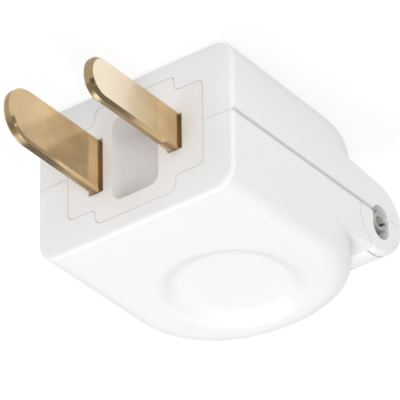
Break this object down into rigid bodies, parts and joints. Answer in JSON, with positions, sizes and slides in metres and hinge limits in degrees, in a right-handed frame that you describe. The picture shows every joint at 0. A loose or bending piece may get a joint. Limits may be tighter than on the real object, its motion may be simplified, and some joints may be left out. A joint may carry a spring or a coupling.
{
  "type": "rewireable plug",
  "caption": "Rewireable two-blade mains plug: white clamshell body with thumb dishes, hinged cover, stepped blade carrier and brass blades.",
  "frame": {"origin": "middle of the front face, midway between the blades, on the parting plane of the two shells", "axes": "-Y out along the blades into the socket, +Y towards the cord outlet, +X towards the wider blade, +Z towards the hinged cover"},
  "size_m": [0.0314, 0.0547, 0.0224],
  "materials": {
    "shell_plastic": "satin moulded white plastic",
    "insert_plastic": "satin moulded white plastic",
    "jaw_plastic": "matte grey moulded plastic",
    "blade_brass": "rolled and bevelled brass",
    "terminal_brass": "plain stamped brass",
    "screw_steel": "bright zinc-plated steel",
    "pin_steel": "dull spring steel"
  },
  "bodies": {
    "base": {"base_shell": "shell_plastic", "blade_carrier": "insert_plastic", "blade_keeper": "insert_plastic", "wide_blade": "blade_brass", "narrow_blade": "blade_brass", "cord_cradle": "jaw_plastic", "cord_clamp_nut_left": "screw_steel", "cord_clamp_nut_right": "screw_steel", "hinge_pin_left": "pin_steel", "hinge_pin_right": "pin_steel"},
    "cover": {"cover_shell": "shell_plastic"},
    "wide_plate": {"wide_wire_plate": "terminal_brass", "wide_lock_washer": "screw_steel"},
    "wide_screw": {"wide_terminal_screw": "screw_steel"},
    "narrow_plate": {"narrow_wire_plate": "terminal_brass", "narrow_lock_washer": "screw_steel"},
    "narrow_screw": {"narrow_terminal_screw": "screw_steel"},
    "clamp": {"cord_clamp": "jaw_plastic"},
    "clamp_screw_left": {"cord_clamp_screw_left": "screw_steel"},
    "clamp_screw_right": {"cord_clamp_screw_right": "screw_steel"}
  },
  "joints": [
    {"name": "cover_hinge", "type": "hinge", "parent": "base", "child": "cover", "pos_m": [0, 0.03145, 0.0011], "axis": [-1, 0, 0], "range_deg": [0, 90]},
    {"name": "wide_terminal_lift", "type": "slide", "parent": "base", "child": "wide_plate", "axis": [0, 0, 1], "range_m": [0, 0.002]},
    {"name": "wide_screw_turn", "type": "hinge", "parent": "wide_plate", "child": "wide_screw", "pos_m": [0.01058, 0.0128, 0], "axis": [0, 0, 1], "range_deg": [0, 1445]},
    {"name": "narrow_terminal_lift", "type": "slide", "parent": "base", "child": "narrow_plate", "axis": [0, 0, 1], "range_m": [0, 0.002]},
    {"name": "narrow_screw_turn", "type": "hinge", "parent": "narrow_plate", "child": "narrow_screw", "pos_m": [-0.01058, 0.0128, 0], "axis": [0, 0, 1], "range_deg": [0, 1445]},
    {"name": "cord_clamp_lift", "type": "slide", "parent": "base", "child": "clamp", "axis": [0, 0, 1], "range_m": [0, 0.002]},
    {"name": "clamp_screw_left_turn", "type": "hinge", "parent": "clamp", "child": "clamp_screw_left", "pos_m": [-0.0078, 0.0201, 0], "axis": [0, 0, 1], "range_deg": [0, 1445]},
    {"name": "clamp_screw_right_turn", "type": "hinge", "parent": "clamp", "child": "clamp_screw_right", "pos_m": [0.0078, 0.0201, 0], "axis": [0, 0, 1], "range_deg": [0, 1445]}
  ],
  "couplings": [
    {"joint": "wide_screw_turn", "follows": "wide_terminal_lift", "rad_per_m": 12566},
    {"joint": "narrow_screw_turn", "follows": "narrow_terminal_lift", "rad_per_m": 12566},
    {"joint": "clamp_screw_left_turn", "follows": "cord_clamp_lift", "rad_per_m": 12566},
    {"joint": "clamp_screw_right_turn", "follows": "cord_clamp_lift", "rad_per_m": 12566}
  ]
}
